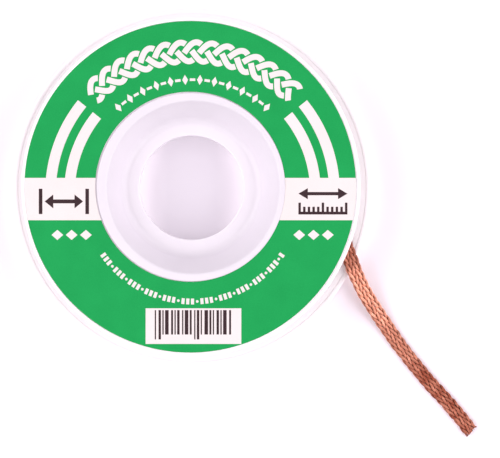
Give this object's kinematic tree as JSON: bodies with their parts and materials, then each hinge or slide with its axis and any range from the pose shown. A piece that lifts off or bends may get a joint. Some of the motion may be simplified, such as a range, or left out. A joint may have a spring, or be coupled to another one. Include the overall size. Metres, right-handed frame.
{
  "type": "desoldering braid",
  "caption": "Flat copper desoldering braid wound on a flanged white plastic spool with a funnel-shaped hub and a ring-shaped paper label, its free end lying out on the table.",
  "frame": {"origin": "on the spool's axis, at the underside of the larger flange, which lies on the table", "axes": "+Z along the spool's axis, away from the table; +X to the picture's right and +Y to its top"},
  "size_m": [0.0578, 0.0531, 0.008],
  "materials": {
    "spool_plastic": "white moulded plastic, slightly glossy, faintly translucent",
    "label_paper": "smooth green printed paper with white arcs",
    "copper_braid": "bare copper, flat braid of fine wires; brass stands in because the list has no copper"
  },
  "bodies": {
    "root": {"spool_base": "spool_plastic", "spool_cover": "spool_plastic", "label": "label_paper", "braid_coil": "copper_braid", "braid_tail": "copper_braid"}
  },
  "joints": []
}
